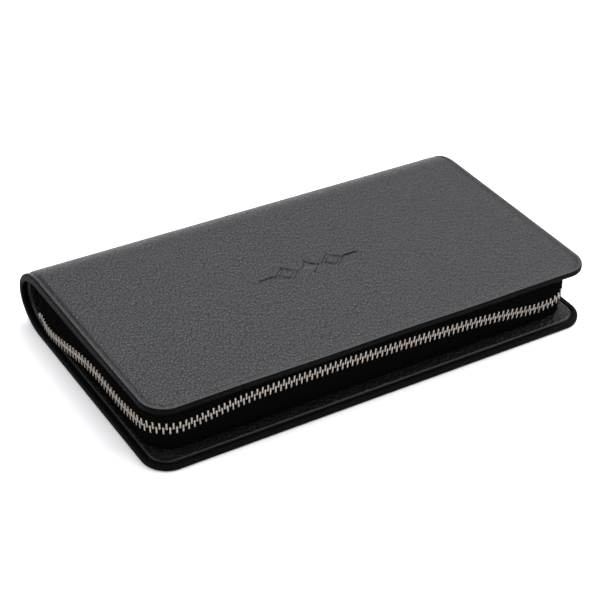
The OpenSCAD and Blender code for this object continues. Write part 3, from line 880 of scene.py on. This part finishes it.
def slider(name, body, place):
    """A zip slider: two plates, the flanges that hold the teeth, the wedge and the bail."""
    parts = Parts()
    plate_loop = [(a, -w) for a, w in PLATE_EDGE] + [(a, w) for a, w in PLATE_EDGE[::-1]]
    for side in (-1, 1):
        near, far = sorted((side * PLATE_IN, side * PLATE_OUT))
        prism(parts, plate_loop, near, far, 0.32, place)
        rail_near, rail_far = sorted((side * SLIT, side * (PLATE_IN + 0.2)))
        outer = [(a, w - 0.08) for a, w in PLATE_EDGE if -4.9 < a < 4.8]
        for edge in (-1, 1):
            rail = [(a, edge * w) for a, w in outer]
            rail += [(outer[-1][0], edge * GROOVE_HALF), (outer[0][0], edge * GROOVE_HALF)]
            prism(parts, rail if edge < 0 else rail[::-1], rail_near, rail_far, 0.15, place)
    wedge = [(3.3, 0), (4.0, -0.42), (4.9, -0.5), (5.3, 0), (4.9, 0.5), (4.0, 0.42)]
    prism(parts, wedge, -PLATE_IN - 0.2, PLATE_IN + 0.2, 0.1, place)
    # A low shield on the outer plate under the bail
    shield = arc_points(-0.2, 0, 2.9, 0, 360, 24)[:-1]
    prism(parts, [(a * 1.25, w * 0.8) for a, w in shield], PLATE_OUT - 0.1, PLATE_OUT + 0.22, 0.2, place)
    cheek = [(-2.3, 2.3), (2.3, 2.3), (1.9, 2.75), (1.1, 3.2)] + arc_points(0, BAIL, 0.8, 0, 180, 8)
    cheek += [(-1.1, 3.2), (-1.9, 2.75)]
    upright = lambda p: place(np.asarray(p)[..., [0, 2, 1]])
    for low in (-2.3, 1.5):
        prism(parts, cheek, low, low + 0.8, 0.2, upright)
    prism(parts, arc_points(0, BAIL, 0.52, 0, 360, 16)[:-1], -2.42, 2.42, 0.12, upright)
    parts.make(name, body, True, slot="slider_metal", angle=32)


HOLE_R, PULL_HALF, PULL_T = 1.4, 3.5, 0.7


def pull_tab(name, body, place, length):
    """A zip pull: an eye round the slider's pin, and a tab with a raised rim and a hole near its end."""
    parts = Parts()
    end = -length + PULL_HALF
    side = [(-0.9, 1.25), (-2.5, 1.25), (-3.1, 1.6), (-3.8, 2.35), (-4.8, 2.8)]
    side += [(a, 2.8 + 0.7 * smooth(-4.8, end, a)) for a in np.linspace(-6, end + 0.5, 8)]
    other_side = [(a, -w) for a, w in side[::-1]]
    loop = np.array(side + arc_points(end, 0, PULL_HALF, 90, 270, 18) + other_side, float)
    angle = np.arctan2(loop[:, 1], loop[:, 0] - end)
    half = [(0.0, 0.38), (0.1, 0.58), (0.32, PULL_T), (0.7, PULL_T), (0.9, 0.5)]
    hole = [(0.95, 0.5), (0.78, PULL_T), (0.28, PULL_T), (0.08, 0.6), (0, 0.38)]
    top = [columns(*inset_loop(loop, d).T, o) for d, o in half]
    for d, o in hole:
        top.append(columns(end + (HOLE_R + d) * np.cos(angle), (HOLE_R + d) * np.sin(angle), o))
    under = [r * (1, 1, -1) for r in top[::-1]]
    rings = np.array(top + under + top[:1])
    rings[..., 2] += BAIL
    loft(parts, place(rings), caps=False)
    eye = [(0.66, -1.2), (0.75, -1.3), (1.0, -1.3), (1.1, -1.18), (1.1, 1.18), (1.0, 1.3), (0.75, 1.3),
           (0.66, 1.2)]
    turns = np.linspace(0, 2 * pi, 25)
    rings = np.array([[(r * cos(a), w, BAIL + r * sin(a)) for r, w in eye] for a in turns])
    loft(parts, place(rings), caps=False)
    parts.make(name, body, True, slot="slider_metal", angle=32)


slider("zip_slider", "zip_slider", main_zip_place)
slider("pocket_zip_slider", "pocket_zip_slider", pocket_zip_place)
pull_length = joints["zip_pull_hinge"]["pos_m"][1] / MM - box_mm("zip_pull")[0].y
pull_tab("zip_pull", "zip_pull", main_zip_place, pull_length)
pocket_pull_length = (box_mm("pocket_zip_pull")[1].x - POCKET_SLIDER_X) / POCKET_SCALE
pull_tab("pocket_zip_pull", "pocket_zip_pull", pocket_zip_place, pocket_pull_length)


# ---- pockets, card slots and linings
def u_path(x0, x1, y0, y1, r, inset, step=3.0):
    """Points down the left side, round the front corners and up the right side, at an inset."""
    r = max(r, inset + 0.3)
    y = stations(y0 + r, y1, step)
    left, right = columns(x0 + inset, y[::-1]), columns(x1 - inset, y)
    ahead = columns(stations(x0 + r, x1 - r, step), y0 + inset)
    first = np.array(arc_points(x0 + r, y0 + r, r - inset, 180, 270, 8))[1:-1]
    second = np.array(arc_points(x1 - r, y0 + r, r - inset, 270, 360, 8))[1:-1]
    return np.concatenate([left, first, ahead, second, right])


def stitch_line(parts, points, pitch=3.1, length=2.2, half=0.25, rise=0.2):
    """Lays stitches along a line of points on a surface that faces +Z."""
    points = np.asarray(points, float)
    run = np.concatenate([[0], np.cumsum(np.linalg.norm(np.diff(points, axis=0), axis=1))])
    count = int(run[-1] // pitch)
    first = (run[-1] - (count - 1) * pitch) / 2
    around = np.linspace(0, 2 * pi, 7)[:-1]
    for i in range(count):
        t = first + i * pitch + length * np.linspace(-0.5, 0.5, 5)
        centre = np.column_stack([np.interp(t, run, points[:, k]) for k in range(3)])
        heading = centre[-1] - centre[0]
        heading /= np.linalg.norm(heading)
        across = np.array([-heading[1], heading[0], 0])
        rings = []
        lifts = (-0.15, 0.7 * rise, rise, 0.7 * rise, -0.15)
        for c, up, size in zip(centre, lifts, (0.6, 0.95, 1, 0.95, 0.6)):
            ring = [c + size * half * (cos(a) * across + np.array([0, 0, 0.8 * sin(a)])) for a in around]
            rings.append(np.array(ring) + np.array([0, 0, up]))
        loft(parts, rings)


def sew(name, body, lines, to_world):
    """Thread along lines that are drawn for a cover lying on its outer face."""
    thread = Parts()
    for line in lines:
        stitch_line(thread, line)
    if thread.count:
        thread.verts = [to_world(v) for v in thread.verts]
        thread.make(name, body, angle=60)


def keep(place):
    return place


def cover_frame(node, in_front):
    """A node's box, for a cover that lies on its outer face, and what puts such points in place."""
    low, high = box_mm(node)
    if in_front:
        low.z, high.z = HEIGHT - high.z, HEIGHT - low.z
    return low, high, in_front_cover if in_front else keep


SIDE_SEAM = 1.7


def pocket(node, body, radius, in_front=False, bulge=0.2, hem=6.0, rows=(1.3, 5.0), side_rows=True,
           y_from=None):
    """A pocket's panel with a hem folded over at its mouth, and the stitches that hold it."""
    low, high, to_world = cover_frame(node, in_front)
    parts = Parts()
    radii = (radius, radius, 0.8, 0.8)
    plate(parts, low.x, high.x, low.y, high.y, radii, low.z, high.z, 0.35, bulge, to_world=to_world)
    plate(parts, low.x + 0.25, high.x - 0.25, high.y - hem, high.y - 0.05, (0.6,) * 4, high.z - 0.4,
          high.z + 0.22, 0.3, 0.0, to_world=to_world)
    parts.make(node, body, True, slot="pocket_leather", angle=40)
    lines = [columns(stations(low.x + 1.5, high.x - 1.5, 3), high.y - row, high.z + 0.2) for row in rows]
    if side_rows:
        lines.append(columns(*u_path(low.x, high.x, low.y, high.y - hem - 1, radius, SIDE_SEAM).T, high.z))
    if y_from is not None:
        y = stations(y_from, high.y - hem, 3)
        lines += [columns(x, y, high.z) for x in (low.x + SIDE_SEAM, high.x - SIDE_SEAM)]
    sew(node + "_stitches", body, lines, to_world)


def gusset(node, body, radius, in_front=False, back=False):
    """Leather folded inwards in a V between a pocket and what it is sewn to."""
    low, high, to_world = cover_frame(node, in_front)
    z0, z1, mid = low.z, high.z, (low.z + high.z) / 2
    fold = [(0.1, z0), (0.8, z0), (2.85, mid - 0.12), (2.85, mid + 0.12), (0.8, z1), (0.1, z1),
            (0.1, z1 - 0.42), (0.5, z1 - 0.45), (2.15, mid + 0.06), (2.15, mid - 0.06), (0.5, z0 + 0.45),
            (0.1, z0 + 0.42)]
    paths = [columns(*u_path(low.x, high.x, low.y, high.y, radius, w).T, z) for w, z in fold]
    parts = Parts()
    loft(parts, to_world(np.stack(paths, axis=1)))
    if back:
        x = stations(low.x + 3, high.x - 3, 4)
        rings = [columns(x, high.y - w, min(z, z1 - 0.5)) for w, z in fold]
        loft(parts, to_world(np.stack(rings, axis=1)))
    parts.make(node, body, True, slot="lining_fabric", angle=40)


def lining(node, body, in_front):
    low, high, to_world = cover_frame(node, in_front)
    parts = Parts()
    plate(parts, low.x, high.x, low.y, high.y, (7.7, 7.7, 1, 1), low.z, high.z, 0.4, 0.0, step=4,
          to_world=to_world)
    parts.make(node, body, True, slot="lining_fabric", angle=40)


lining("back_lining", "back_cover", False)
lining("front_lining", "front_cover", True)
gusset("ticket_pocket_gusset", "back_cover", 8)
pocket("ticket_pocket", "back_cover", 8)
gusset("passport_pocket_gusset", "back_cover", 8)
pocket("passport_pocket", "back_cover", 8)
pocket("side_pocket", "back_cover", 6, bulge=0.15)
gusset("zip_pocket_gusset", "front_cover", 8, True, True)
pocket("zip_pocket_panel", "front_cover", 8, True, bulge=0.1, hem=3.0, rows=(1.6,))
below = None
for side in ("left", "right"):
    for row in (1, 2, 3, 4):
        node = f"card_slot_{side}_{row}"
        pocket(node, "front_cover", 5, True, bulge=0.12, hem=3.4, rows=(), side_rows=row == 1,
               y_from=None if row == 1 else below + 0.8)
        below = box_mm(node)[1].y

# The strip behind the pocket zip, with its stitches
strip = Parts()
low, high, to_world = cover_frame("zip_pocket_top_strip", True)
plate(strip, low.x, high.x, low.y, high.y, (0.8,) * 4, low.z, high.z, 0.35, to_world=to_world)
strip.make("zip_pocket_top_strip", "front_cover", True, slot="pocket_leather", angle=40)
strip_x = stations(low.x + 1.5, high.x - 1.5, 3)
sew("zip_pocket_top_strip_stitches", "front_cover", [columns(strip_x, low.y + 1.4, high.z)], to_world)

# The pocket zip: tapes with corded edges, teeth and stops
pocket_tapes = Parts()
tape_x = stations(pocket_tape_low.x, pocket_tape_high.x, 6)
TAPE_SECTION = [(1.95, 0.2), (1.9, 0.42), (2.1, 0.52), (2.45, 0.42), (2.7, 0.2), (6.9, 0.2), (6.9, -0.2),
                (2.7, -0.2), (2.45, -0.42), (2.1, -0.52), (1.9, -0.42), (1.95, -0.2)]
for side in (-1, 1):
    rings = [[(x, POCKET_ZIP_Y + side * w, POCKET_ZIP_Z + h) for w, h in TAPE_SECTION] for x in tape_x]
    loft(pocket_tapes, in_front_cover(rings))
pocket_tapes.make("pocket_zip_tapes", "front_cover", True, slot="zip_tape", angle=40)

pocket_teeth = Parts()
row_low, row_high = box_mm("pocket_zip_teeth")
along, out, up = np.moveaxis(tooth_rings(POCKET_SCALE), -1, 0)
small_pitch = TOOTH_PITCH * POCKET_SCALE
# Whole pitches that carry the row into the slider's groove
pitches = floor((row_low.x - POCKET_SLIDER_X) / small_pitch + TEETH_IN_SLIDER / TOOTH_PITCH)
for side in (-1, 1):
    first_x = row_low.x + (0.21 + (side + 1) / 4 - pitches) * small_pitch
    for i in range(floor((row_high.x - 0.4 - first_x) / small_pitch) + 1):
        points = columns(first_x + i * small_pitch + along, POCKET_ZIP_Y - side * up, POCKET_ZIP_Z + out)
        loft(pocket_teeth, in_front_cover(points))
pocket_teeth.make("pocket_zip_teeth", "front_cover", True, slot="zip_teeth_metal", angle=38)

pocket_stops = Parts()
ends_low, ends_high = box_mm("pocket_zip_stops")
END_HALF, END_REACH = 0.55, 2.2
end_low_y, end_high_y = POCKET_ZIP_Y - END_REACH, POCKET_ZIP_Y + END_REACH
for x in (ends_low.x + 0.5, ends_high.x - 0.5):
    plate(pocket_stops, x - END_HALF, x + END_HALF, end_low_y, end_high_y, (0.4,) * 4,
          POCKET_ZIP_Z - 0.85, POCKET_ZIP_Z + 0.9, 0.3, step=0.8, to_world=in_front_cover)
pocket_stops.make("pocket_zip_stops", "front_cover", True, slot="zip_teeth_metal", angle=38)

# Stitches that hold the zip tape's hem to each cover
HEM_END, HEM_SEAM, HEM_RISE = 8.5, -3.9, 0.62
hem_x, hem_y, *_ = zip_place(stations(HEM_END, TAPE_RUN - HEM_END, 2.5), HEM_SEAM)
for body, to_world in (("back_cover", keep), ("front_cover", in_front_cover)):
    sew(f"{body}_hem_stitches", body, [columns(hem_x, hem_y, COVER_T + HEM_RISE)], to_world)

for node in ("back_board", "front_board"):
    materials = frame["nodes"][node].data.materials
    materials.clear()
    materials.append(BOARD)

# ---- floor, light and camera
AZIMUTH, ELEVATION, ROLL = radians(-34.48), radians(35.67), radians(3.66)
DISTANCE, LENS = 0.7586, 97.7
SHIFT = -0.0120, 0.02994

camera = bpy.data.objects.new("camera", bpy.data.cameras.new("camera"))
scene.collection.objects.link(camera)
back_way = Vector((sin(AZIMUTH) * cos(ELEVATION), -cos(AZIMUTH) * cos(ELEVATION), sin(ELEVATION)))
level = Vector((cos(AZIMUTH), sin(AZIMUTH), 0))
upright = back_way.cross(level)
right_way = level * cos(ROLL) + upright * sin(ROLL)
up_way = upright * cos(ROLL) - level * sin(ROLL)
turned = Matrix((right_way, up_way, back_way)).transposed()
camera.matrix_world = Matrix.Translation(back_way * DISTANCE) @ turned.to_4x4()
camera.data.lens = LENS
camera.data.sensor_width = 36
camera.data.shift_x, camera.data.shift_y = SHIFT
camera.data.clip_start, camera.data.clip_end = 0.05, 20
scene.camera = camera


LIGHTS_AIM = Vector((0, 0, 0.02))


def area_light(name, place, size, power, colour=(1, 1, 1)):
    light = bpy.data.lights.new(name, "AREA")
    light.shape = "RECTANGLE"
    light.size, light.size_y = size
    light.energy = power
    light.color = colour
    ob = bpy.data.objects.new(name, light)
    scene.collection.objects.link(ob)
    ob.location = place
    ob.rotation_euler = (LIGHTS_AIM - Vector(place)).to_track_quat("-Z", "Y").to_euler()


area_light("overhead_softbox", (0.35, 0.6, 1.3), (1.5, 1.3), 27, (0.985, 0.99, 1.0))
area_light("right_softbox", (1.1, -0.35, 1.3), (1.7, 1.7), 33)
area_light("left_card", (-1.3, 0.4, 1.1), (1.3, 1.3), 14)
area_light("front_fill", (-0.4, -1.6, 1.5), (1.2, 1.2), 8)

world = bpy.data.worlds.new("studio")
scene.world = world
world.use_nodes = True
background = world.node_tree.nodes["Background"].inputs
background["Color"].default_value, background["Strength"].default_value = (0.95, 0.96, 1.0, 1), 0.41
scene.view_settings.view_transform = "Standard"

floor_mesh = bpy.data.meshes.new("floor")
floor_mesh.from_pydata([(-6, -6, 0), (6, -6, 0), (6, 6, 0), (-6, 6, 0)], [], [(0, 1, 2, 3)])
floor_object = bpy.data.objects.new("floor", floor_mesh)
scene.collection.objects.link(floor_object)
floor_look = Nodes("pale_floor")
floor_look.shader.inputs["Base Color"].default_value = (0.92, 0.92, 0.92, 1)
floor_look.shader.inputs["Roughness"].default_value = 0.9
floor_mesh.materials.append(floor_look.material)
